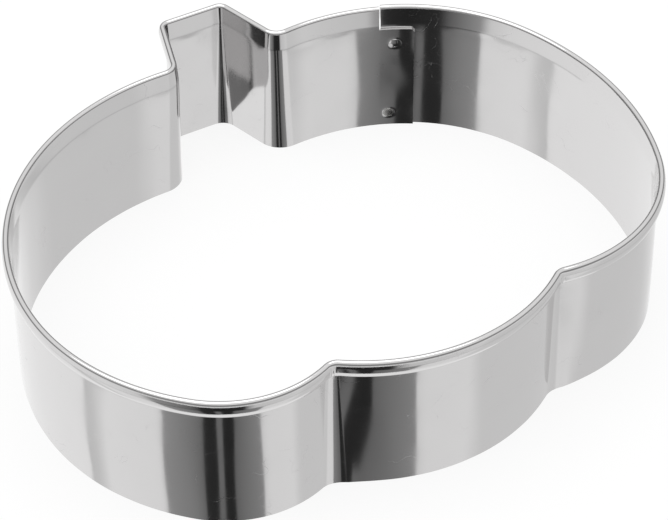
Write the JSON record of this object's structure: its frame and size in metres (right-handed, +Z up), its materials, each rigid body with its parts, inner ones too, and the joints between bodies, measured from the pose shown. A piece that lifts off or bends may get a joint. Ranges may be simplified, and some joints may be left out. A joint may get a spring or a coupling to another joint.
{
  "type": "cookie cutter",
  "caption": "Pumpkin-shaped cookie cutter bent from one steel strip, with a rolled rim to press on, a plain lower cutting edge and a spot-welded lap seam.",
  "frame": {"origin": "on the plane of the lower cutting edge, under the middle of the outline's box", "axes": "+Z up from the cutting edge to the rolled rim, +Y towards the stem, +X to the right seen from above with the stem away"},
  "size_m": [0.1068, 0.0938, 0.025],
  "materials": {
    "steel_strip": "polished stainless steel",
    "weld_metal": "polished stainless steel, dulled by the weld"
  },
  "bodies": {
    "root": {"cutter_strip": "steel_strip", "spot_welds": "weld_metal"}
  },
  "joints": []
}
